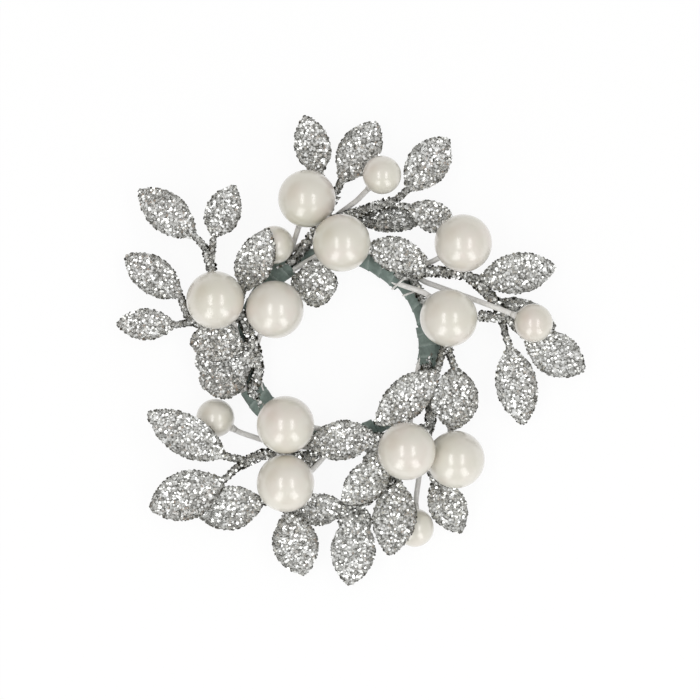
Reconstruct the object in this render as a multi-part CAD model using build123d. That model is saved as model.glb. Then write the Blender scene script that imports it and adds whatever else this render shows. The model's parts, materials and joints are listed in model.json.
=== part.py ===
from build123d import *
from collections import namedtuple
from math import cos, radians, sin, sqrt, tan
import os

# A small candle ring: a wire hoop bound with floral tape, and five picks taped to it one after
# another, all pointing clockwise. A pick is a leaf spray and three pearl berries on wire stems.
# Millimetres, +Z up. The origin is on the hoop's axis, at the level of the table.

# Hoop
hoop_radius = 24.0
hoop_wire_d = 2.2

# Floral tape wound along the hoop, each turn lapping the one before it
tape_d = 4.0
tape_lap = 0.25
tape_turns = 38
tape_seam_degrees = 2.0
tape_edge_share = 0.02

# Bindings: extra turns of tape that hold the feet of a pick to the hoop
binding_d = 6.7
binding_offset = 0.3
binding_degrees = 24.0
binding_turns = 4
binding_full_share = 0.5
binding_tail = 0.65
rest_flat = 0.3

# Feet of the stems, in a half ring around the hoop at the mouth of a binding
foot_clearance = 0.2
foot_depth = 3.0
branch_foot_d = 1.2
stem_foot_d = 0.8
branch_foot_angle = 80.0
foot_angles = {"inner": 122.0, "upper": 41.0, "lower": 6.0}

# Leaf sprays
branch_d = 2.2
twig_d = 2.1
petiole_d = 1.6
petiole_start = 0.35
rib_share = 0.2
leaf_thickness = 0.9
leaf_edge = 0.45
leaf_end_share = 0.5
leaf_cup = 0.16

# Berries
pearl_d = 15.0
small_pearl_d = 10.0
pearl_gap = 0.3
pearl_bore_depth = 3.0
passing_gap = 0.3
stem_d = 1.4

# Clearance in every socket, and how round the bends of wires and branches are
fit = 0.03
largest_bend = 7.0
bend_share = 0.45

# The underside of a binding is level, so the thick end of the sleeve stands higher on the hoop. The
# tape is pressed flat there, and the ring stands on it.
binding_lift = (binding_d - tape_d) / 2 - binding_tail
hoop_height = binding_d / 2 - binding_lift - rest_flat

# How far out from the hoop's wire a stem runs where it passes a binding
beside_binding = binding_offset + binding_d / 2 + passing_gap + stem_d / 2

# Stations along a leaf: the share of its length, and the share of its full width there
leaf_stations = [
    (0.0, 0.18), (0.14, 0.6), (0.34, 0.95), (0.56, 1.0), (0.76, 0.78), (0.91, 0.42), (1.0, 0.08),
]

# Places in a pick are (t, n, u): t clockwise from the binding's mouth, n out from the hoop, u up
# from the table. A leaf's petiole leaves the branch at its node and carries the blade from base to
# tip. A positive roll lifts the edge on the outer side of a leaf that points clockwise.
Leaf = namedtuple("Leaf", "node elbow base tip width roll arch")
# Two pearls rest against each other: the middle between them, the bearing from the first to the
# second, the height of their undersides, and how much farther than touching they stand apart.
Pair = namedtuple("Pair", "middle bearing undersides spread")
Small = namedtuple("Small", "place underside")
Stem = namedtuple("Stem", "foot route")


def leaf(node, base, tip, width, roll=0.0, arch=0.8, elbow=None):
    return Leaf(node, elbow, base, tip, width, roll, arch)


def along_hoop(degrees, out):
    # A place (t, n) that far round the hoop from the mouth, and that far out from the hoop's wire
    turn = radians(degrees)
    return ((hoop_radius + out) * sin(turn), (hoop_radius + out) * cos(turn) - hoop_radius)


picks = {
    "a": {
        "mouth": 214.0,
        "branch": [
            (5.2, -3.6, 5.6), (10.0, -6.0, 5.5), (19.8, -8.2, 6.0), (32.3, -7.6, 6.0), (39.1, -10.3, 6.8),
        ],
        "twigs": [[(19.8, -8.2, 6.0), (22.7, 0.9, 5.2), (27.3, 3.9, 5.8)]],
        "leaves": [
            leaf((39.1, -10.3, 6.8), (44.1, -9.6, 7.6), (61.8, -4.4, 6.0), 9.8),
            leaf((35.0, -8.7, 6.3), (41.3, -13.8, 9.2), (48.9, -25.4, 14.0), 9.0),
            leaf((27.3, 3.9, 5.8), (33.2, 2.1, 6.3), (49.7, 8.1, 4.6), 9.4),
            leaf((25.2, 2.5, 5.5), (27.7, 7.7, 6.0), (36.3, 19.9, 4.0), 7.8),
            leaf((11.8, -6.4, 5.6), (13.3, -4.3, 7.4), (21.9, 6.7, 7.8), 10.8, roll=12.0),
            leaf((21.9, -8.1, 6.0), (25.4, -12.4, 9.8), (34.5, -26.6, 15.6), 9.4),
            leaf((7.4, -4.7, 5.5), (7.9, -2.3, 6.7), (11.4, 10.6, 5.2), 14.0, roll=15.0),
        ],
        "pair": Pair((21.7, -10.5), 227.0, (7.0, 5.5), 0.4),
        "small": Small(along_hoop(92.8, 6.4), 4.2),
        "stems": [
            Stem("upper", [(11.0, -0.4, 4.9), (15.8, -4.2, 5.2), (19.8, -5.4, 7.6)]),
            Stem("inner", [(5.0, -3.4, 3.0), (10.0, -5.6, 2.9), (12.6, -8.4, 4.4)]),
            Stem("lower", [(*along_hoop(17.5, 3.3), 2.5), (*along_hoop(32.5, 3.9), 2.4),
                           (*along_hoop(50.9, 4.1), 2.4), (*along_hoop(68.3, beside_binding), 2.4),
                           (*along_hoop(84.8, beside_binding), 3.6)]),
        ],
    },
    "b": {
        "mouth": 120.0,
        "branch": [(4.9, 1.7, 5.3), (12.6, 5.1, 5.2), (19.5, 9.8, 5.5)],
        "twigs": [[(12.6, 5.1, 5.2), (19.2, 3.6, 5.5), (32.6, 0.7, 6.5)]],
        "leaves": [
            leaf((17.4, 8.4, 5.4), (18.8, 16.6, 4.8), (23.0, 31.5, 6.0), 9.0),
            leaf((19.5, 9.8, 5.5), (23.0, 12.3, 6.2), (38.4, 20.8, 5.0), 10.4),
            leaf((32.6, 0.7, 6.5), (36.7, 1.6, 7.0), (52.3, 7.9, 5.5), 10.4),
            leaf((20.4, 3.3, 5.6), (22.1, 0.4, 4.6), (35.3, -7.1, 4.2), 9.6, roll=-35.0),
            leaf((30.4, 1.2, 6.3), (34.6, -2.6, 6.0), (42.7, -12.9, 4.4), 7.8),
            leaf((17.6, 4.0, 5.4), (20.2, -6.0, 7.6), (31.5, -17.9, 8.0), 8.8),
            leaf((3.8, 1.3, 5.3), (-1.0, -5.2, 7.0), (8.6, -10.2, 7.2), 11.8, elbow=(1.6, -2.4, 8.4)),
        ],
        "pair": Pair((13.7, 5.3), 278.0, (4.0, 8.5), 0.0),
        "small": Small((32.6, 8.1), 8.5),
        "stems": [
            Stem("upper", [(6.6, 6.8, 6.0)]),
            Stem("inner", [(8.0, -1.6, 8.6)]),
            Stem("lower", [(9.0, 3.2, 2.7), (17.0, 5.0, 3.0), (23.6, 5.7, 5.9)]),
        ],
    },
    "c": {
        "mouth": 50.0,
        "branch": [(6.1, 6.4, 5.5), (14.6, 12.2, 5.6), (22.1, 11.9, 5.8), (29.5, 10.0, 7.2)],
        "twigs": [
            [(3.4, 2.6, 5.3), (11.2, -0.6, 5.4), (18.7, -3.9, 5.5), (24.0, -6.5, 6.2)],
            [(29.5, 10.0, 7.2), (24.0, 6.0, 6.4)],
        ],
        "leaves": [
            leaf((15.2, 12.2, 5.6), (18.1, 13.6, 6.2), (31.0, 28.4, 5.0), 10.2),
            leaf((29.5, 10.0, 7.2), (37.0, 9.4, 7.2), (53.8, 12.6, 5.0), 11.0),
            leaf((26.0, 10.9, 6.5), (35.3, 4.6, 6.0), (50.8, -8.2, 5.2), 10.4),
            leaf((22.2, 11.8, 5.8), (25.6, 12.2, 4.6), (41.0, 16.4, 1.8), 8.0, roll=14.0, arch=0.4),
            leaf((21.6, -5.3, 5.9), (24.8, -12.3, 9.4), (21.5, -32.9, 9.0), 10.0),
            leaf((24.0, -6.5, 6.2), (28.0, -8.6, 7.2), (37.8, -21.0, 6.0), 12.0),
        ],
        "pair": Pair((13.3, 9.0), 299.0, (4.6, 6.6), 4.6),
        "small": Small((35.8, 13.5), 7.2),
        "stems": [
            Stem("upper", [(5.4, 8.6, 3.8)]),
            Stem("inner", [(4.2, -0.5, 6.3), (9.6, 1.6, 8.7)]),
            Stem("lower", [(7.5, 3.7, 3.4), (19.2, 8.0, 6.2), (27.4, 10.9, 9.0)]),
        ],
    },
    "d": {
        "mouth": -12.0,
        "branch": [(4.7, 3.2, 5.2), (15.9, 4.6, 5.4), (27.7, -0.3, 5.8), (40.5, -9.5, 6.0)],
        "twigs": [[(15.9, 4.6, 5.4), (20.4, -5.0, 6.4)]],
        "leaves": [
            leaf((20.4, -5.0, 6.4), (21.0, -9.2, 7.4), (26.9, -25.5, 7.4), 10.0),
            leaf((20.6, 2.7, 5.5), (29.4, 8.7, 3.4), (40.8, 18.4, 4.6), 9.4, arch=0.3),
            leaf((28.8, -1.1, 5.8), (31.8, -0.3, 8.6), (50.3, 1.2, 12.0), 11.0),
            leaf((40.5, -9.5, 6.0), (42.2, -9.3, 6.2), (60.2, -7.3, 4.4), 11.2),
            leaf((25.6, 0.6, 5.7), (26.8, -3.8, 9.0), (39.7, -13.4, 9.2), 9.4),
            leaf((38.8, -8.3, 6.0), (40.8, -12.3, 6.0), (44.8, -26.4, 2.8), 8.0),
        ],
        "pair": Pair((22.8, 6.4), 92.0, (10.0, 2.0), 0.0),
        "small": Small((42.2, 6.2), 0.5),
        "stems": [
            Stem("inner", [(12.6, -1.0, 6.6)]),
            Stem("upper", [(6.0, 5.4, 3.6), (13.0, 9.0, 3.4)]),
            Stem("lower", [(8.0, 4.4, 2.2), (18.0, 5.0, 2.0), (27.0, 4.4, 2.0), (35.0, 5.0, 2.4)]),
        ],
    },
    "e": {
        "mouth": 272.0,
        "branch": [(6.5, 4.8, 5.3), (13.0, 4.6, 5.2), (19.4, 3.4, 5.6), (25.8, 6.3, 6.4)],
        "twigs": [[(6.5, 4.8, 5.3), (11.7, 12.4, 4.2), (17.0, 16.5, 4.8)]],
        "leaves": [
            leaf((23.6, 5.3, 6.1), (30.0, 3.8, 9.0), (49.2, -8.0, 11.0), 10.4),
            leaf((25.8, 6.3, 6.4), (30.6, 10.4, 7.3), (49.5, 17.0, 5.0), 12.2),
            leaf((17.0, 16.5, 4.8), (20.4, 16.1, 4.8), (37.2, 18.8, 3.6), 11.0),
            leaf((14.6, 14.6, 4.5), (14.1, 19.5, 5.0), (10.0, 35.5, 5.0), 11.4),
        ],
        "pair": Pair((13.8, 3.8), 88.0, (8.0, 6.0), 0.0),
        "small": Small((31.8, -6.1), 0.5),
        "stems": [
            Stem("inner", [(7.6, -3.0, 7.4)]),
            Stem("upper", [(7.6, 9.0, 6.2)]),
            Stem("lower", [(4.0, 2.8, 2.4), (12.0, 2.0, 2.4), (20.0, 0.0, 2.4), (25.8, -2.2, 3.0)]),
        ],
    },
}


def pick_frame(mouth):
    turn = radians(mouth)
    place = (hoop_radius * cos(turn), hoop_radius * sin(turn), 0)
    return Plane(origin=place, x_dir=(sin(turn), -cos(turn), 0), z_dir=(0, 0, 1)).location


def foot_place(angle, diameter, t):
    # A foot stands just clear of the tape, at its own angle around the hoop
    radius = tape_d / 2 + foot_clearance + diameter / 2
    turn = radians(angle)
    return Vector(t, radius * cos(turn), hoop_height + radius * sin(turn))


def bends(points):
    # Each bend is as round as its runs allow, up to the largest bend
    radii = []
    for before, corner, after in zip(points, points[1:], points[2:]):
        half_turn = radians((corner - before).get_angle(after - corner)) / 2
        run = min((corner - before).length, (after - corner).length)
        radii.append(min(largest_bend, bend_share * run / tan(half_turn)))
    return radii


def wire(points, diameter):
    points = [Vector(*point) for point in points]
    if len(points) == 2:
        path = Line(*points)
    else:
        path = FilletPolyline(*points, radius=bends(points))
    return sweep(Plane(origin=path @ 0, z_dir=path % 0) * Circle(diameter / 2), path=path)


def rod(start, end, diameter):
    start, end = Vector(*start), Vector(*end)
    length = (end - start).length
    low = (Align.CENTER, Align.CENTER, Align.MIN)
    return Plane(origin=start, z_dir=end - start) * Cylinder(diameter / 2, length, align=low)


def tape_ring():
    # Each turn of tape starts high, over the last one, and thins down to the hoop
    turn = (360.0 - tape_seam_degrees) / tape_turns
    first = picks["a"]["mouth"] + binding_degrees / 2 + tape_seam_degrees / 2
    sections = []
    for index in range(tape_turns):
        for share, radius in ((0.0, tape_d / 2), (1.0 - tape_edge_share, tape_d / 2 - tape_lap)):
            around = Rot(0, 0, first + turn * (index + share))
            sections.append(around * Pos(hoop_radius, 0, hoop_height) * Rot(90, 0, 0) * Circle(radius))
    winding = loft(sections, ruled=True)
    return winding - Pos(0, 0, hoop_height) * Torus(hoop_radius, hoop_wire_d / 2 + fit)


def binding(mouth):
    # A sleeve of lapped tape, thick above and outside the hoop where the feet lie at its mouth, and
    # drawn in to the hoop at its tail
    sections = []
    for index in range(binding_turns):
        for part, lap in ((0.0, 0.0), (1.0 - tape_edge_share, tape_lap)):
            share = (index + part) / binding_turns
            drawn_in = max(0.0, share - binding_full_share) / (1 - binding_full_share)
            radius = binding_d / 2 * (1 - drawn_in) + (tape_d / 2 + binding_tail) * drawn_in - lap
            out = hoop_radius + binding_offset * (1 - drawn_in)
            height = hoop_height + binding_lift * (1 - drawn_in)
            around = Rot(0, 0, mouth + binding_degrees * share)
            sections.append(around * Pos(out, 0, height) * Rot(90, 0, 0) * Circle(radius))
    sleeve = split(loft(sections, ruled=True), bisect_by=Plane.XY, keep=Keep.TOP)
    return sleeve - Pos(0, 0, hoop_height) * Torus(hoop_radius, tape_d / 2 + fit)


def foot(angle, stem_width, foot_width):
    start = foot_place(angle, stem_width, fit - foot_depth)
    return rod(start, foot_place(angle, stem_width, stem_width / 2), foot_width)


def foot_socket(angle, stem_width, foot_width):
    start = foot_place(angle, stem_width, -foot_depth)
    return rod(start, foot_place(angle, stem_width, foot_depth), foot_width + 2 * fit)


def petiole_points(blade):
    node, first = Vector(*blade.node), Vector(*(blade.elbow or blade.base))
    start = node + (first - node).normalized() * petiole_start
    middle = [Vector(*blade.elbow)] if blade.elbow else []
    return [start] + middle + [Vector(*blade.base)]


def leaf_blade(blade):
    base, tip = Vector(*blade.base), Vector(*blade.tip)
    along = (tip - base).normalized()
    side = Vector(0, 0, 1).cross(along).normalized().rotate(Axis((0, 0, 0), along), blade.roll)
    up = along.cross(side)
    sections = []
    for share, width_share in leaf_stations:
        half = blade.width / 2 * width_share
        rise = leaf_cup * blade.width * width_share ** 2
        edge = leaf_edge / 2
        rib = edge + (leaf_thickness - leaf_edge) / 2 * min(1.0, width_share + leaf_end_share)
        lower = ThreePointArc((-half, rise - edge), (0, -rib), (half, rise - edge))
        right = Line((half, rise - edge), (half, rise + edge))
        upper = ThreePointArc((half, rise + edge), (0, rib), (-half, rise + edge))
        left = Line((-half, rise + edge), (-half, rise - edge))
        middle = base + (tip - base) * share + up * (blade.arch * 4 * share * (1 - share))
        outline = make_face([lower, right, upper, left])
        sections.append(Plane(origin=middle, x_dir=side, z_dir=along) * outline)
    return loft(sections)


def whole_leaf(blade):
    # The petiole runs on into the blade as its midrib
    base, tip = Vector(*blade.base), Vector(*blade.tip)
    rib_end = base + (tip - base) * rib_share
    return leaf_blade(blade) + wire(petiole_points(blade) + [rib_end], petiole_d)


def spray_branch(pick):
    mouth = [foot_place(branch_foot_angle, branch_d, t) for t in (fit, branch_d)]
    shape = wire(mouth + pick["branch"], branch_d) + foot(branch_foot_angle, branch_d, branch_foot_d)
    for twig in pick["twigs"]:
        shape += wire(twig, twig_d)
    for blade in pick["leaves"]:
        start, end = petiole_points(blade)[:2]
        along = (end - start).normalized()
        shape -= rod(start - along * fit, start + along * 2 * branch_d, petiole_d + 2 * fit)
    return shape


def berry_centres(pick):
    # The pair stands so that its pearls just clear each other, then the small berry at the end
    pair = pick["pair"]
    low, high = pair.undersides
    between = sqrt((pearl_d + pearl_gap) ** 2 - (high - low) ** 2) + pair.spread
    bearing = radians(pair.bearing)
    step = Vector(cos(bearing), sin(bearing)) * (between / 2)
    first = Vector(*pair.middle, low + pearl_d / 2) - step
    second = Vector(*pair.middle, high + pearl_d / 2) + step
    small = pick["small"]
    last = Vector(*small.place, small.underside + small_pearl_d / 2)
    return [(first, pearl_d), (second, pearl_d), (last, small_pearl_d)]


def pearl(centre, diameter, entry):
    inward = (centre - entry).normalized()
    bottom = centre - inward * (diameter / 2 - pearl_bore_depth)
    bead = Plane(origin=centre, z_dir=inward) * Sphere(diameter / 2)
    return bead - rod(bottom, centre - inward * diameter, stem_d + 2 * fit)


def berry_stem(stem, centre, diameter):
    angle = foot_angles[stem.foot]
    entry = Vector(*stem.route[-1])
    inward = (centre - entry).normalized()
    end = centre - inward * (diameter / 2 - pearl_bore_depth + fit)
    mouth = [foot_place(angle, stem_d, t) for t in (fit, stem_d)]
    return wire(mouth + stem.route + [end], stem_d) + foot(angle, stem_d, stem_foot_d)


os.makedirs("parts", exist_ok=True)

hoop = Pos(0, 0, hoop_height) * Torus(hoop_radius, hoop_wire_d / 2)
export_step(hoop, "parts/hoop_wire.step")
export_step(tape_ring(), "parts/hoop_tape.step")

bindings = []
for letter, pick in picks.items():
    frame = pick_frame(pick["mouth"])
    sleeve = binding(pick["mouth"]) - frame * foot_socket(branch_foot_angle, branch_d, branch_foot_d)
    for angle in foot_angles.values():
        sleeve -= frame * foot_socket(angle, stem_d, stem_foot_d)
    bindings.append(sleeve.solid())

    export_step(frame * spray_branch(pick), f"parts/spray_{letter}_branch.step")
    for number, blade in enumerate(pick["leaves"], 1):
        export_step(frame * whole_leaf(blade), f"parts/leaf_{letter}{number}.step")

    stems = []
    for number, (stem, (centre, diameter)) in enumerate(zip(pick["stems"], berry_centres(pick)), 1):
        bead = pearl(centre, diameter, Vector(*stem.route[-1]))
        export_step(frame * bead, f"parts/pearl_{letter}{number}.step")
        stems.append((frame * berry_stem(stem, centre, diameter)).solid())
    export_step(Compound(children=stems), f"parts/berry_stems_{letter}.step")
export_step(Compound(children=bindings), "parts/bindings.step")
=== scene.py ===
import json
import math
import bmesh
import bpy
import numpy as np
from mathutils import Matrix, Vector, noise
from mathutils.kdtree import KDTree


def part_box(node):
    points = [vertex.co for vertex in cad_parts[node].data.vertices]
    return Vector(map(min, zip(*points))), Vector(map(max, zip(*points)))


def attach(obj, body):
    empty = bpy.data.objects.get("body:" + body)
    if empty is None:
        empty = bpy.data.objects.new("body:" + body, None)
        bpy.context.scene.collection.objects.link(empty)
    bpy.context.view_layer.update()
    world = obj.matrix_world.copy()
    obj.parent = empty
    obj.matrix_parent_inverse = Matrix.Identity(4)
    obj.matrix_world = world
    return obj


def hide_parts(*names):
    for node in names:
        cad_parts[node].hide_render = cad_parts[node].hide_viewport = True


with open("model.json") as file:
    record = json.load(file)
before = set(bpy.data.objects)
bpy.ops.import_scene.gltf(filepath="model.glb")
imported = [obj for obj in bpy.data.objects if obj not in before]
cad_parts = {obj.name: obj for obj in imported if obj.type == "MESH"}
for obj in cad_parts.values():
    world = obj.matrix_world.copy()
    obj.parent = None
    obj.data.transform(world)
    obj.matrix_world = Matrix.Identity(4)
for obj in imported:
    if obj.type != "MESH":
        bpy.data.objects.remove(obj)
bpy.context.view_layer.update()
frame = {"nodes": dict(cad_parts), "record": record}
nodes = frame["nodes"]
scene = bpy.context.scene
fullTurn = 2 * math.pi
print("frame:", len(nodes), "nodes")


# Camera straight above, as in the picture: up in the frame is +Y

camera = {
    "lens": 400.0,
    "sensor": 36.0,
    "frameWidth": 0.182,
    "aim": (0.0039, -0.0013, 0.008),
}


def placeCamera():
    lens = bpy.data.cameras.new("camera")
    lens.lens = camera["lens"]
    lens.sensor_width = camera["sensor"]
    distance = camera["frameWidth"] * camera["lens"] / camera["sensor"]
    lens.clip_end = 4 * distance
    holder = bpy.data.objects.new("camera", lens)
    holder.location = Vector(camera["aim"]) + Vector((0, 0, distance))
    scene.collection.objects.link(holder)
    scene.camera = holder
    scene.view_settings.view_transform = "Standard"


placeCamera()
print("camera placed")


# Node helpers

def addNode(tree, kind, inputs=None, **settings):
    node = tree.nodes.new("ShaderNode" + kind)
    for name, value in settings.items():
        setattr(node, name, value)
    for name, value in (inputs or {}).items():
        if isinstance(value, bpy.types.NodeSocket):
            tree.links.new(value, node.inputs[name])
        else:
            node.inputs[name].default_value = value
    return node


def newMaterial(name, values):
    material = bpy.data.materials.new(name)
    material.use_nodes = True
    shader = material.node_tree.nodes["Principled BSDF"]
    for socket, value in values.items():
        shader.inputs[socket].default_value = value
    return material, material.node_tree, shader


def mixColours(tree, factor, first, second):  # a Mix node takes its colours at sockets 6 and 7
    node = addNode(tree, "Mix", data_type="RGBA")
    tree.links.new(factor, node.inputs[0])
    for index, colour in ((6, first), (7, second)):
        if isinstance(colour, bpy.types.NodeSocket):
            tree.links.new(colour, node.inputs[index])
        else:
            node.inputs[index].default_value = (*colour, 1.0)
    return node.outputs[2]


def addBump(tree, shader, height, distance):
    bump = addNode(tree, "Bump", {"Height": height, "Distance": distance, "Strength": 1.0})
    tree.links.new(bump.outputs["Normal"], shader.inputs["Normal"])


# Shared effects

clouding = {"Detail": 3.0, "Roughness": 0.6}


def newGroup(name, inputs, outputs):
    group = bpy.data.node_groups.new(name, "ShaderNodeTree")
    for socket, value in inputs.items():
        made = group.interface.new_socket(socket, in_out="INPUT", socket_type="NodeSocketFloat")
        made.default_value = value
    for socket in outputs:
        group.interface.new_socket(socket, in_out="OUTPUT", socket_type="NodeSocketFloat")
    return group, group.nodes.new("NodeGroupInput"), group.nodes.new("NodeGroupOutput")


def mottleGroup():  # soft clouds from 0 to 1
    group, given, result = newGroup("mottle", {"Scale": 200.0, "Low": 0.35, "High": 0.65}, ["Mask"])
    place = addNode(group, "TexCoord")
    cloud = addNode(group, "TexNoise", {
        "Vector": place.outputs["Object"],
        "Scale": given.outputs["Scale"],
        **clouding,
    })
    spread = addNode(group, "MapRange", {
        "Value": cloud.outputs["Fac"],
        "From Min": given.outputs["Low"],
        "From Max": given.outputs["High"],
    })
    group.links.new(spread.outputs["Result"], result.inputs["Mask"])
    return group


def gritGroup():  # crowded grains: a random value for each grain, and its height
    group, given, result = newGroup("grit", {"Scale": 1400.0}, ["Grain", "Height"])
    place = addNode(group, "TexCoord")
    cells = addNode(group, "TexVoronoi", {
        "Vector": place.outputs["Object"],
        "Scale": given.outputs["Scale"],
    })
    parts = addNode(group, "SeparateColor", {"Color": cells.outputs["Color"]})
    group.links.new(parts.outputs[0], result.inputs["Grain"])
    height = addNode(group, "Math", {0: 1.0, 1: cells.outputs["Distance"]}, operation="SUBTRACT")
    group.links.new(height.outputs[0], result.inputs["Height"])
    return group


mottle = mottleGroup()
grit = gritGroup()


def useGroup(tree, group, inputs):
    node = tree.nodes.new("ShaderNodeGroup")
    node.node_tree = group
    for name, value in inputs.items():
        node.inputs[name].default_value = value
    return node


# Pearl lacquer: ivory with faint blush clouds and a wider olive veil

pearlFinish = {
    "ivory": (0.705, 0.672, 0.598),
    "blush": (0.70, 0.62, 0.563),
    "olive": (0.64, 0.622, 0.52),
    "clouds": {"Scale": 95.0, "Low": 0.45, "High": 0.68},
    "veil": {"Scale": 57.0, "Low": 0.4, "High": 0.7},
    "skin": {"Scale": 900.0, "Low": 0.2, "High": 0.8},
    "skinDepth": 0.00001,
    "shader": {"Roughness": 0.32, "IOR": 1.6, "Coat Weight": 1.0, "Coat Roughness": 0.2, "Coat IOR": 1.8},
}


def pearlMaterial():
    material, tree, shader = newMaterial("pearlLacquer", pearlFinish["shader"])
    clouds = useGroup(tree, mottle, pearlFinish["clouds"])
    veil = useGroup(tree, mottle, pearlFinish["veil"])
    tinted = mixColours(tree, clouds.outputs["Mask"], pearlFinish["ivory"], pearlFinish["blush"])
    colour = mixColours(tree, veil.outputs["Mask"], tinted, pearlFinish["olive"])
    tree.links.new(colour, shader.inputs["Base Color"])
    skin = useGroup(tree, mottle, pearlFinish["skin"])
    addBump(tree, shader, skin.outputs["Mask"], pearlFinish["skinDepth"])
    return material


# Floral tape: grey-green crepe, with a painted highlight along the edge of each lap

tapeFinish = {
    "green": (0.21, 0.272, 0.245),
    # the paler lap-edge colour is a painted highlight
    "edgeHighlight": (0.29, 0.35, 0.322),
    "deep": (0.125, 0.16, 0.145),
    "clouds": {"Scale": 420.0, "Low": 0.3, "High": 0.7},
    "crepe": {"Scale": 2600.0, "Low": 0.25, "High": 0.75},
    "crepeDepth": 0.00008,
    "edgeHighlightReach": {"From Min": 0.3, "From Max": 0.0},
    "shader": {"Roughness": 0.78},
}


def tapeMaterial():
    material, tree, shader = newMaterial("floralTape", tapeFinish["shader"])
    lap = addNode(tree, "Attribute", attribute_name="lapShare")
    clouds = useGroup(tree, mottle, tapeFinish["clouds"])
    crepe = useGroup(tree, mottle, tapeFinish["crepe"])
    ground = mixColours(tree, clouds.outputs["Mask"], tapeFinish["green"], tapeFinish["deep"])
    # painted highlight: the colour turns paler close to the start of each lap
    edge = addNode(tree, "MapRange", {"Value": lap.outputs["Fac"], **tapeFinish["edgeHighlightReach"]})
    edgeHighlight = mixColours(tree, edge.outputs["Result"], ground, tapeFinish["edgeHighlight"])
    tree.links.new(edgeHighlight, shader.inputs["Base Color"])
    addBump(tree, shader, crepe.outputs["Mask"], tapeFinish["crepeDepth"])
    return material


# Paper round the stems

paperFinish = {
    "white": (0.84, 0.83, 0.805),
    "shaded": (0.70, 0.685, 0.66),
    "clouds": {"Scale": 700.0, "Low": 0.35, "High": 0.7},
    "fibre": {"Scale": 3500.0, "Low": 0.25, "High": 0.75},
    "fibreDepth": 0.00005,
    "shader": {"Roughness": 0.7},
}


def paperMaterial():
    material, tree, shader = newMaterial("stemPaper", paperFinish["shader"])
    clouds = useGroup(tree, mottle, paperFinish["clouds"])
    colour = mixColours(tree, clouds.outputs["Mask"], paperFinish["white"], paperFinish["shaded"])
    tree.links.new(colour, shader.inputs["Base Color"])
    fibre = useGroup(tree, mottle, paperFinish["fibre"])
    addBump(tree, shader, fibre.outputs["Mask"], paperFinish["fibreDepth"])
    return material


# Glitter bed: the coat of fine grains between the larger chips, with painted shade where it turns down at a
# rim

bedFinish = {
    # deep is the painted shade colour of the rims
    "deep": (0.05, 0.048, 0.04),
    "dark": (0.13, 0.128, 0.116),
    "light": (0.68, 0.682, 0.66),
    "grains": {"Scale": 2200.0},
    "grainDepth": 0.0003,
    "flatReach": {"From Min": 0.2, "From Max": 0.8},
    "shader": {"Metallic": 0.75, "Roughness": 0.45},
}


def bedMaterial():
    material, tree, shader = newMaterial("glitterBed", bedFinish["shader"])
    grains = useGroup(tree, grit, bedFinish["grains"])
    colour = mixColours(tree, grains.outputs["Grain"], bedFinish["dark"], bedFinish["light"])
    # painted shade: the more the surface faces sideways, the nearer it goes to the deep colour
    surface = addNode(tree, "NewGeometry")
    way = addNode(tree, "SeparateXYZ", {"Vector": surface.outputs["True Normal"]})
    upright = addNode(tree, "Math", {0: way.outputs["Z"]}, operation="ABSOLUTE")
    flat = addNode(tree, "MapRange", {"Value": upright.outputs[0], **bedFinish["flatReach"]})
    rimShaded = mixColours(tree, flat.outputs["Result"], bedFinish["deep"], colour)
    tree.links.new(rimShaded, shader.inputs["Base Color"])
    addBump(tree, shader, grains.outputs["Height"], bedFinish["grainDepth"])
    return material


# Foil of the chips, from dull to bright by each chip's tone, which holds painted shade at the rims

chipFinish = {
    # deep is reached by the painted rim shade and by the darkest random tones
    "deep": (0.08, 0.075, 0.058),
    "dark": (0.64, 0.642, 0.615),
    "light": (0.975, 0.98, 0.97),
    "darkTone": 0.35,
    "shader": {"Metallic": 1.0, "Roughness": 0.24},
}


def chipMaterial():
    material, tree, shader = newMaterial("glitterChip", chipFinish["shader"])
    tone = addNode(tree, "Attribute", attribute_name="chipTone")
    ramp = addNode(tree, "ValToRGB", {"Fac": tone.outputs["Fac"]})
    first, last = ramp.color_ramp.elements
    first.color = (*chipFinish["deep"], 1.0)
    last.color = (*chipFinish["light"], 1.0)
    ramp.color_ramp.elements.new(chipFinish["darkTone"]).color = (*chipFinish["dark"], 1.0)
    tree.links.new(ramp.outputs["Color"], shader.inputs["Base Color"])
    return material


# Steel of the hoop, inside the tape

wireFinish = {
    "bright": (0.42, 0.42, 0.42),
    "dull": (0.30, 0.29, 0.28),
    "clouds": {"Scale": 300.0, "Low": 0.3, "High": 0.7},
    "shader": {"Metallic": 1.0, "Roughness": 0.4},
}


def wireMaterial():
    material, tree, shader = newMaterial("hoopWire", wireFinish["shader"])
    clouds = useGroup(tree, mottle, wireFinish["clouds"])
    colour = mixColours(tree, clouds.outputs["Mask"], wireFinish["bright"], wireFinish["dull"])
    tree.links.new(colour, shader.inputs["Base Color"])
    return material


finish = {
    "pearl": pearlMaterial(),
    "tape": tapeMaterial(),
    "stem_paper": paperMaterial(),
    "glitter": bedMaterial(),
    "wire": wireMaterial(),
}
chipFoil = chipMaterial()
for subpart in frame["record"]["subparts"]:
    slots = nodes[subpart["node"]].data.materials
    slots.clear()
    slots.append(finish[subpart["material_slot"]])
print("finishes made:", len(finish) + 1)


# Mesh helpers

mergeGap = 1e-7


def newPiece(name, bm, material, slot, *replaced):
    mesh = bpy.data.meshes.new(name)
    bm.to_mesh(mesh)
    bm.free()
    mesh.materials.append(material)
    piece = bpy.data.objects.new(name, mesh)
    scene.collection.objects.link(piece)
    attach(piece, "root")
    if replaced:
        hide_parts(*replaced)
    return piece


def meshPoints(mesh):
    places = np.zeros(len(mesh.vertices) * 3, np.float32)
    mesh.vertices.foreach_get("co", places)
    return places.reshape(-1, 3)


def nodePoints(node):
    return meshPoints(nodes[node].data)


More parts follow.
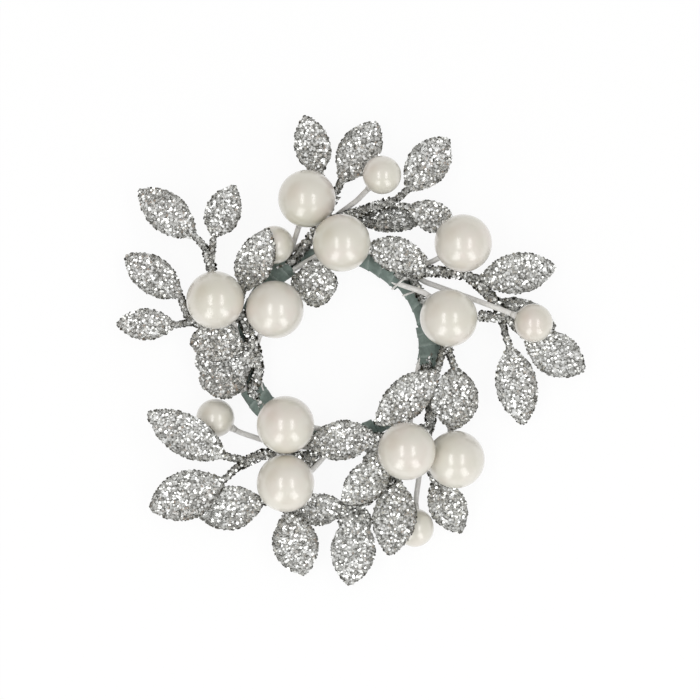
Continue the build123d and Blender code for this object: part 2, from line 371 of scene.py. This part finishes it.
def spinVerts(bm, verts, angle, steps, merge=False):  # sweeps vertices and their edges about the Z axis
    edges = list(dict.fromkeys(edge for vert in verts for edge in vert.link_edges))
    bmesh.ops.spin(bm, geom=verts + edges, cent=(0, 0, 0), axis=(0, 0, 1), angle=angle, steps=steps,
                   use_merge=merge)
    if merge:
        bmesh.ops.remove_doubles(bm, verts=bm.verts, dist=mergeGap)


def closeEnds(bm):
    return bmesh.ops.holes_fill(bm, edges=[edge for edge in bm.edges if edge.is_boundary])["faces"]


def quarterTurn(axis):
    return Matrix.Rotation(math.pi / 2, 4, axis)


# Pearls: a lacquered bead with a drilled mouth, turned so that the mouth meets its stem

pearl = {
    "segments": 72,
    "steps": 40,
    "bore": 0.00073,
    "boreDepth": 0.003,
    "lip": 0.00018,
    "lipOut": 0.3,
    "lipUp": 0.7,
    "stemShare": 0.97,
}


def findBead(node):
    low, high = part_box(node)
    centre = (low + high) / 2
    radius = max(high - low) / 2
    points = nodePoints("berry_stems_" + node[-2])
    inside = points[np.linalg.norm(points - np.array(centre), axis=1) < radius * pearl["stemShare"]]
    return centre, radius, (Vector(inside.mean(axis=0)) - centre).normalized()


def beadProfile(radius):
    bore = pearl["bore"]
    lip = pearl["lip"]
    mouth = math.asin((bore + lip) / radius)
    floor = radius - pearl["boreDepth"]
    shoulder = radius * math.cos(mouth) - lip
    points = [(0.0, floor), (bore, floor), (bore, shoulder)]
    points.append((bore + pearl["lipOut"] * lip, shoulder + pearl["lipUp"] * lip))
    for step in range(pearl["steps"] + 1):
        angle = mouth + (math.pi - mouth) * step / pearl["steps"]
        points.append((radius * math.sin(angle), radius * math.cos(angle)))
    return points


def makeBead(node):
    centre, radius, stemWay = findBead(node)
    bm = bmesh.new()
    profile = [bm.verts.new((out, 0, up)) for out, up in beadProfile(radius)]
    for pair in zip(profile, profile[1:]):
        bm.edges.new(pair)
    spinVerts(bm, profile, fullTurn, pearl["segments"], merge=True)
    bmesh.ops.recalc_face_normals(bm, faces=bm.faces)
    bmesh.ops.rotate(bm, verts=bm.verts, matrix=stemWay.to_track_quat("Z", "Y").to_matrix())
    bmesh.ops.translate(bm, verts=bm.verts, vec=centre)
    piece = newPiece("bead_" + node[-2:], bm, finish["pearl"], "pearl", node)
    piece.data.shade_smooth()
    return centre, radius, stemWay


beads = {node: makeBead(node) for node in sorted(nodes) if node.startswith("pearl_")}
print("beads:", len(beads))


# Paper collars where the stems enter the beads

collar = {"length": 0.0022, "thin": 0.00076, "wide": 0.00112, "sides": 20, "sunk": 0.0006}


def makeCollars(letter):
    bm = bmesh.new()
    for number in "123":
        centre, radius, stemWay = beads[f"pearl_{letter}{number}"]
        middle = centre + stemWay * (radius - collar["sunk"] + collar["length"] / 2)
        turn = Matrix.Translation(middle) @ stemWay.to_track_quat("Z", "Y").to_matrix().to_4x4()
        bmesh.ops.create_cone(bm, cap_ends=True, segments=collar["sides"], radius1=collar["wide"],
                              radius2=collar["thin"], depth=collar["length"], matrix=turn)
    piece = newPiece("paper_collars_" + letter, bm, finish["stem_paper"], "stem_paper")
    piece.data.shade_smooth()


for letter in "abcde":
    makeCollars(letter)
print("collars made")


# Floral tape wound round the hoop as one long spiral of lapped turns

tape = {
    "hoop": 0.024,
    "height": 0.00235,
    "outer": 0.002,
    "lap": 0.00017,
    "turns": 38,
    "stepsPerTurn": 20,
    "sides": 40,
    "edgeRidge": 0.00006,
    "edgeShare": 0.07,
    "wander": 0.9,
    "wanderScale": 90.0,
    "crepe": 0.00007,
    "crepeScale": 1500.0,
}


def aroundHoop(place):  # the angle along the hoop, the wire's middle there, and the angle around the wire
    along = math.atan2(place.y, place.x)
    outward = Vector((math.cos(along), math.sin(along), 0))
    middle = outward * tape["hoop"] + Vector((0, 0, tape["height"]))
    return along, middle, math.atan2(place.z - tape["height"], place.xy.length - tape["hoop"])


def lapHeight(lap):  # each turn starts with a pinched edge and thins down to the next
    ridge = math.exp(-(min(lap, 1 - lap) / tape["edgeShare"]) ** 2)
    return tape["edgeRidge"] * ridge - tape["lap"] * lap


def crepeRipple(place):
    return tape["crepe"] * noise.noise(place * tape["crepeScale"])


def setLaps(piece, laps):
    layer = piece.data.attributes.new("lapShare", "FLOAT", "POINT")
    layer.data.foreach_set("value", laps)


def windTape():
    bm = bmesh.new()
    upright = Matrix.Translation((tape["hoop"], 0, tape["height"])) @ quarterTurn("X")
    bmesh.ops.create_circle(bm, segments=tape["sides"], radius=tape["outer"], matrix=upright)
    spinVerts(bm, bm.verts[:], fullTurn, tape["turns"] * tape["stepsPerTurn"], merge=True)
    laps = []
    for vert in bm.verts:
        along, middle, around = aroundHoop(vert.co)
        wander = tape["wander"] * noise.noise(middle * tape["wanderScale"])
        lap = (tape["turns"] * along + around + wander) / fullTurn % 1.0
        laps.append(lap)
        height = tape["outer"] + lapHeight(lap) + crepeRipple(vert.co)
        vert.co = middle + (vert.co - middle).normalized() * height
    bmesh.ops.recalc_face_normals(bm, faces=bm.faces)
    piece = newPiece("wound_tape", bm, finish["tape"], "tape", "hoop_tape")
    piece.data.shade_smooth()
    setLaps(piece, laps)


windTape()
print("tape wound")


# Sleeves of extra tape at the feet of the picks, gathered round the stems at their mouths

sleeve = {
    "mouths": {"a": 214.0, "b": 120.0, "c": 50.0, "d": -12.0, "e": 272.0},
    "overhang": {"a": 7.0, "b": 1.0, "c": 7.5, "d": 1.5, "e": 1.5},
    "innerTuck": {"a": 0.0, "b": 0.0, "c": 0.0, "d": 0.0008, "e": 0.0008},
    "degrees": 24.0,
    "steps": 72,
    "sides": 56,
    "full": 0.00335,
    "tail": 0.00268,
    "fullShare": 0.5,
    "offset": 0.0003,
    "lift": 0.0007,
    "laps": 3.4,
    "pleats": 7,
    "pleatDepth": 0.00042,
    "pleatShare": 0.3,
    "pleatWobble": 2.5,
    "mouthHollow": 0.0007,
    "hemShare": 0.1,
}


def sleeveRadius(share, around, innerTuck):  # also gives how full the sleeve is there, and its lap
    drawnIn = max(0.0, share - sleeve["fullShare"]) / (1 - sleeve["fullShare"])
    gather = max(0.0, 1 - share / sleeve["pleatShare"]) ** 2
    wobble = sleeve["pleatWobble"] * math.sin(2 * around)
    pleat = 0.5 - 0.5 * math.cos(sleeve["pleats"] * around + wobble)
    lap = (sleeve["laps"] * share + around / fullTurn) % 1.0
    radius = sleeve["full"] + (sleeve["tail"] - sleeve["full"]) * drawnIn
    radius -= innerTuck * (1 - drawnIn) * max(0.0, -math.cos(around)) ** 2
    hem = min(1.0, share / sleeve["hemShare"])
    return radius - sleeve["pleatDepth"] * gather * pleat + hem * lapHeight(lap), 1 - drawnIn, lap


def wrapSleeve(bm, letter):
    start = math.radians(sleeve["mouths"][letter] - sleeve["overhang"][letter])
    sweep = math.radians(sleeve["degrees"] + sleeve["overhang"][letter])
    turned = Matrix.Rotation(start, 4, "Z") @ Matrix.Translation((tape["hoop"], 0, tape["height"]))
    before = set(bm.verts)
    ring = bmesh.ops.create_circle(bm, segments=sleeve["sides"], radius=tape["outer"],
                                   matrix=turned @ quarterTurn("X"))["verts"]
    spinVerts(bm, ring, sweep, sleeve["steps"])
    skin = [vert for vert in bm.verts if vert not in before]
    caps = closeEnds(bm)
    laps = {}
    for vert in skin:
        along, middle, around = aroundHoop(vert.co)
        share = (along - start) % fullTurn / sweep
        radius, swell, laps[vert] = sleeveRadius(min(share, 1.0), around, sleeve["innerTuck"][letter])
        outward = (vert.co - middle).normalized()
        seat = middle + Vector((middle.x, middle.y, 0)).normalized() * sleeve["offset"] * swell
        raised = seat + Vector((0, 0, sleeve["lift"] * swell))
        vert.co = raised + outward * (radius + crepeRipple(vert.co))
        vert.co.z = max(vert.co.z, 0.0)
    for cap in caps:
        middle = cap.calc_center_median()
        facing = cap.normal.copy()
        hub = bmesh.ops.poke(bm, faces=[cap])["verts"][0]
        hub.co = middle - facing * sleeve["mouthHollow"]
        laps[hub] = 1.0
    return laps


def wrapSleeves():
    bm = bmesh.new()
    laps = {}
    for letter in sleeve["mouths"]:
        laps.update(wrapSleeve(bm, letter))
    bmesh.ops.recalc_face_normals(bm, faces=bm.faces)
    ordered = [laps[vert] for vert in bm.verts]
    piece = newPiece("bound_sleeves", bm, finish["tape"], "tape", "bindings")
    piece.data.shade_smooth()
    setLaps(piece, ordered)


wrapSleeves()
print("sleeves bound")


# Pale tails of a stem, wound once round the hoop past the mouth of pick c

tail = {
    "radius": 0.00027,
    "start": -12.0,
    "sweep": 204.0,
    "sides": 12,
    "steps": 40,
    "onSleeve": {"degrees": 44.0, "lean": -2.0, "bend": 0.00345, "offset": 0.0003, "lift": 0.0007},
    "onTape": {"degrees": 34.5, "lean": -15.0, "bend": 0.00214, "offset": 0.0, "lift": 0.0},
}


def tailSeat(turn):
    middle = Matrix.Translation((tape["hoop"] + turn["offset"], 0, tape["height"] + turn["lift"]))
    across = quarterTurn("X") @ Matrix.Rotation(math.radians(tail["start"]), 4, "Z")
    leaning = Matrix.Rotation(math.radians(turn["lean"]), 4, "Z")
    return Matrix.Rotation(math.radians(turn["degrees"]), 4, "Z") @ middle @ leaning @ across


def windTails():
    bm = bmesh.new()
    for turn in (tail["onSleeve"], tail["onTape"]):
        before = set(bm.verts)
        upright = Matrix.Translation((turn["bend"], 0, 0)) @ quarterTurn("X")
        ring = bmesh.ops.create_circle(bm, segments=tail["sides"], radius=tail["radius"],
                                       matrix=upright)["verts"]
        spinVerts(bm, ring, math.radians(tail["sweep"]), tail["steps"])
        closeEnds(bm)
        skin = [vert for vert in bm.verts if vert not in before]
        bmesh.ops.transform(bm, matrix=tailSeat(turn), verts=skin)
    bmesh.ops.recalc_face_normals(bm, faces=bm.faces)
    piece = newPiece("stem_tails", bm, finish["stem_paper"], "stem_paper")
    piece.data.shade_smooth()


windTails()
print("tails wound")


# Edges of leaves that are broader than their solids, below a neighbour or beside a bead

lobe = {
    "sides": 32,
    "thickness": 0.0006,
    "round": 0.0002,
    "leaves": {
        "leaf_a7": [
            {"place": (-0.0343, -0.0042, 0.00525), "size": (0.0042, 0.0058), "slope": -12.0},
            {"place": (-0.0229, -0.0028, 0.0064), "size": (0.0042, 0.0050), "slope": 0.0},
        ],
        "leaf_b7": [{"place": (-0.0091, 0.0155, 0.0071), "size": (0.0048, 0.0070), "slope": -18.0}],
        "leaf_d1": [{"place": (0.0101, -0.0260, 0.0076), "size": (0.0056, 0.0052), "slope": 0.0}],
        "leaf_d4": [{"place": (0.0051, -0.0459, 0.0063), "size": (0.0086, 0.0082), "slope": 0.0}],
        "leaf_d5": [{"place": (0.0098, -0.0300, 0.0100), "size": (0.0050, 0.0044), "slope": 0.0}],
    },
}


def makeLobes(node):
    bm = bmesh.new()
    for part in lobe["leaves"][node]:
        seat = Matrix.Translation(part["place"]) @ Matrix.Rotation(math.radians(part["slope"]), 4, "Y")
        shape = Matrix.Diagonal((*part["size"], lobe["thickness"], 1.0))
        bmesh.ops.create_cone(bm, cap_ends=True, segments=lobe["sides"], radius1=0.5, radius2=0.5,
                              depth=1.0, matrix=seat @ shape)
    caps = [face for face in bm.faces if len(face.verts) == lobe["sides"]]
    rim = [edge for edge in bm.edges if any(face in caps for face in edge.link_faces)]
    bmesh.ops.bevel(bm, geom=rim, offset=lobe["round"], affect="EDGES", segments=2, profile=0.5,
                    material=-1)
    return newPiece(node + "_lobe", bm, finish["glitter"], "glitter")


lobePieces = [makeLobes(node) for node in lobe["leaves"]]
print("lobes:", len(lobePieces))


# Glitter: loose foil chips stuck all over the leaves and branches

glitter = {
    "seed": 11,
    "sides": 6,
    "thickness": 0.00014,
    "leastSize": 0.55,
    "beadGap": 0.00025,
    "leanBias": 0.7,
    "toneBias": 0.55,
    "rimSlope": 0.45,
    "rimShadeTone": 0.0,
    "clumpScale": 330.0,
    "clumpShare": 0.4,
    "footReach": (0.001, 0.0055),
    "brightNodes": ("leaf_a5", "leaf_a7", "leaf_b4", "leaf_b5", "leaf_d1"),
    "sparseReach": 0.0048,
    "sparseShare": 0.3,
    "sparseNodes": ("spray_b_branch", "spray_c_branch"),
    "seams": [
        {"nodes": ["leaf_a5", "leaf_a7"], "from": (-0.0345, -0.0045), "to": (-0.0225, -0.004),
         "reach": 0.0022},
        {"nodes": ["leaf_b7"], "from": (-0.0099, 0.0180), "to": (-0.0083, 0.0125), "reach": 0.0018},
        {"nodes": ["leaf_d1"], "from": (0.0068, -0.0282), "to": (0.0115, -0.0242), "reach": 0.0014},
        {"nodes": ["leaf_d4"], "from": (0.0020, -0.0465), "to": (0.0085, -0.0465), "reach": 0.0020},
    ],
    "leaf": {
        "perSquareMetre": 2.2e6,
        "width": 0.00088,
        "tilt": 38.0,
        "lift": 0.00008,
        "footTone": 0.5,
        "leastTone": 0.3,
        "rimReach": 0.0013,
    },
    "spray": {
        "perSquareMetre": 2.6e6,
        "width": 0.00098,
        "tilt": 62.0,
        "lift": 0.00024,
        "footTone": 1.0,
        "leastTone": -0.1,
        "rimReach": 0.0007,
    },
}
beadCentres = np.array([place[0] for place in beads.values()])
beadRadii = np.array([place[1] for place in beads.values()])


def chipShape():  # one hexagonal flake, a metre wide and a metre thick, to be stamped at each place
    bm = bmesh.new()
    bmesh.ops.create_cone(bm, cap_ends=True, segments=glitter["sides"], radius1=0.5, radius2=0.5, depth=1.0)
    flake = bpy.data.meshes.new("flake")
    bm.to_mesh(flake)
    bm.free()
    return flake


def scatter(node, mesh, perSquareMetre, rng):
    mesh.calc_loop_triangles()
    corners = np.array([triangle.vertices for triangle in mesh.loop_triangles])
    first, second, third = (meshPoints(mesh)[corners[:, index]] for index in range(3))
    normals = np.cross(second - first, third - first)
    areas = np.linalg.norm(normals, axis=1) / 2
    count = int(areas.sum() * perSquareMetre)
    chosen = rng.choice(len(areas), count, p=areas / areas.sum())
    share = rng.random((2, count, 1))
    share = np.where(share.sum(axis=0) > 1, 1 - share, share)
    places = first[chosen] + share[0] * (second - first)[chosen] + share[1] * (third - first)[chosen]
    ways = normals[chosen] / (2 * areas[chosen, None])
    apart = np.linalg.norm(places[:, None] - beadCentres[None], axis=2) - beadRadii
    clear = apart.min(axis=1) > glitter["beadGap"]
    if node in glitter["sparseNodes"]:  # little glitter reaches down to the knots of these picks
        out = np.hypot(np.linalg.norm(places[:, :2], axis=1) - tape["hoop"], places[:, 2] - tape["height"])
        clear &= (out > glitter["sparseReach"]) | (rng.random(count) < glitter["sparseShare"])
    return places[clear], ways[clear]


def pointTree(points):
    tree = KDTree(len(points))
    for index, point in enumerate(points):
        tree.insert(point, index)
    tree.balance()
    return tree


branches = {letter: pointTree(nodePoints(f"spray_{letter}_branch")) for letter in "abcde"}


def seamGap(places, seam):  # how far each place lies from the seam, seen from above
    start = np.array(seam["from"])
    run = np.array(seam["to"]) - start
    share = np.clip((places[:, :2] - start) @ run / (run @ run), 0, 1)
    return np.linalg.norm(places[:, :2] - start - share[:, None] * run, axis=1)


def chipTones(node, places, ways, coat, rng):  # painted shade at rims, darker towards the forks (painted shade and browner glue), and in soft clumps
    steep = np.abs(ways[:, 2]) < glitter["rimSlope"]
    for seam in glitter["seams"]:
        if node in seam["nodes"]:  # the coat runs on across the seam, with no painted rim shade
            steep &= seamGap(places, seam) > seam["reach"]
    rims = pointTree(places[steep])
    inward = [rims.find(place)[2] for place in places]
    # painted shade: chips close to a steep rim are darkened, down to the rim shade tone at the rim itself
    rim = np.interp(inward, (0.0, coat["rimReach"]), (glitter["rimShadeTone"], 1.0))
    clumps = np.array([noise.noise(Vector(place) * glitter["clumpScale"]) for place in places])
    # darker towards the fork a leaf grows from: partly painted shade of the crowded knot, partly its
    # browner glue
    branch = branches[node.split("_")[1][0]]
    apart = [branch.find(place)[2] for place in places]
    footTone = 1.0 if node in glitter["brightNodes"] else coat["footTone"]
    foot = np.interp(apart, glitter["footReach"], (footTone, 1.0))
    tones = coat["leastTone"] + (1 - coat["leastTone"]) * rng.random(len(places)) ** glitter["toneBias"]
    return np.clip(tones * rim * foot * (1 + glitter["clumpShare"] * clumps), 0, 1)


def chipTurn(way, tilt, rng):
    lean = rng.random() ** glitter["leanBias"] * math.radians(tilt)
    compass = rng.random() * 2 * math.pi
    axis = Vector((math.cos(compass), math.sin(compass), 0))
    seated = Vector(way).to_track_quat("Z", "Y").to_matrix().to_4x4()
    return seated @ Matrix.Rotation(lean, 4, axis) @ Matrix.Rotation(rng.random() * math.pi, 4, "Z")


def makeGlitter(node, mesh, flake, rng):
    coat = glitter[node.split("_")[0]]
    whole = meshPoints(flake).ravel()
    bm = bmesh.new()
    places, ways = scatter(node, mesh, coat["perSquareMetre"], rng)
    for place, way in zip(places, ways):
        width = coat["width"] * (glitter["leastSize"] + (1 - glitter["leastSize"]) * rng.random())
        raised = Matrix.Translation(Vector(place) + Vector(way) * coat["lift"])
        seat = raised @ chipTurn(way, coat["tilt"], rng)
        flake.transform(seat @ Matrix.Diagonal((width, width, glitter["thickness"], 1.0)))
        bm.from_mesh(flake)
        flake.vertices.foreach_set("co", whole)
    piece = newPiece("glitter_" + node, bm, chipFoil, "glitter")
    tones = np.repeat(chipTones(node, places, ways, coat, rng), glitter["sides"] + 2)
    layer = piece.data.attributes.new("chipTone", "FLOAT", "FACE")
    layer.data.foreach_set("value", tones.astype(np.float32))
    return len(places)


chipCount = 0
flake = chipShape()
draws = np.random.default_rng(glitter["seed"])
for node in sorted(nodes):
    if node.startswith(("leaf_", "spray_")):
        chipCount += makeGlitter(node, nodes[node].data, flake, draws)
for piece in lobePieces:
    chipCount += makeGlitter(piece.name, piece.data, flake, draws)
bpy.data.meshes.remove(flake)
print("glitter chips:", chipCount)


# Studio: pale floor, two overhead strips and two upright softboxes in front, in a soft light tent

studio = {
    "floorSize": 8.0,
    "floorShader": {"Roughness": 0.9, "Base Color": (0.97, 0.97, 0.97, 1.0)},
    "floorGlow": 0.91,
    "lampShift": 0.1,
    "strip": {"place": (0.52, -0.02, 1.2), "size": (0.27, 0.95), "power": 2.45},
    "softbox": {"place": (0.50, -0.84, 0.50), "size": (0.40, 0.84), "power": 2.1},
}
tent = {
    "horizonToZenith": {"From Min": 0.1, "From Max": 0.95, "To Min": 0.58, "To Max": 0.70},
    "frontToBack": {"From Min": -0.7, "From Max": 0.7, "To Min": 1.0, "To Max": 1.12},
    "white": (1.0, 1.0, 1.0),
    "warm": (0.52, 0.40, 0.31),
    "warmWay": (-0.80, 0.48, 0.36),
    "warmReach": {"From Min": 0.75, "From Max": 0.15},
}


def makeFloor():
    bm = bmesh.new()
    bmesh.ops.create_grid(bm, x_segments=1, y_segments=1, size=studio["floorSize"] / 2)
    mesh = bpy.data.meshes.new("floor")
    bm.to_mesh(mesh)
    bm.free()
    material, tree, shader = newMaterial("floorPaper", studio["floorShader"])
    ray = addNode(tree, "LightPath")
    seen = ray.outputs["Is Camera Ray"]
    for kind in ("Is Glossy Ray", "Is Transmission Ray"):
        seen = addNode(tree, "Math", {0: seen, 1: ray.outputs[kind]}, operation="MAXIMUM").outputs[0]
    share = addNode(tree, "Math", {0: seen, 1: studio["floorGlow"]}, operation="MULTIPLY")
    glow = addNode(tree, "Emission", {"Color": (1, 1, 1, 1), "Strength": 1.0})
    both = addNode(tree, "MixShader", {0: share.outputs[0], 1: shader.outputs[0], 2: glow.outputs[0]})
    tree.links.new(both.outputs[0], tree.nodes["Material Output"].inputs["Surface"])
    mesh.materials.append(material)
    floor = bpy.data.objects.new("floor", mesh)
    scene.collection.objects.link(floor)


def addLamp(name, lampValues, side, turn):
    lamp = bpy.data.lights.new(name, "AREA")
    lamp.shape = "RECTANGLE"
    lamp.size, lamp.size_y = lampValues["size"]
    lamp.energy = lampValues["power"]
    holder = bpy.data.objects.new(name, lamp)
    x, y, z = lampValues["place"]
    holder.location = (studio["lampShift"] + side * x, y, z)
    holder.rotation_euler = turn or (-holder.location).to_track_quat("-Z", "Y").to_euler()
    scene.collection.objects.link(holder)


def lightTent():  # brighter overhead and behind, with one soft warm patch at the left
    world = bpy.data.worlds.new("lightTent")
    world.use_nodes = True
    scene.world = world
    tree = world.node_tree
    way = addNode(tree, "TexCoord").outputs["Generated"]
    parts = addNode(tree, "SeparateXYZ", {"Vector": way})
    height = addNode(tree, "MapRange", {"Value": parts.outputs["Z"], **tent["horizonToZenith"]},
                     interpolation_type="SMOOTHSTEP")
    depth = addNode(tree, "MapRange", {"Value": parts.outputs["Y"], **tent["frontToBack"]})
    glow = addNode(tree, "Math", {0: height.outputs["Result"], 1: depth.outputs["Result"]},
                   operation="MULTIPLY")
    apart = addNode(tree, "VectorMath", {0: way, 1: tent["warmWay"]}, operation="DISTANCE")
    warm = addNode(tree, "MapRange", {"Value": apart.outputs["Value"], **tent["warmReach"]},
                   interpolation_type="SMOOTHSTEP")
    background = tree.nodes["Background"]
    tint = mixColours(tree, warm.outputs["Result"], tent["white"], tent["warm"])
    tree.links.new(tint, background.inputs["Color"])
    tree.links.new(glow.outputs[0], background.inputs["Strength"])


makeFloor()
lightTent()
for side, word in ((-1, "left"), (1, "right")):
    addLamp("strip_" + word, studio["strip"], side, (0, 0, 0))
    addLamp("softbox_" + word, studio["softbox"], side, None)
print("studio lit")
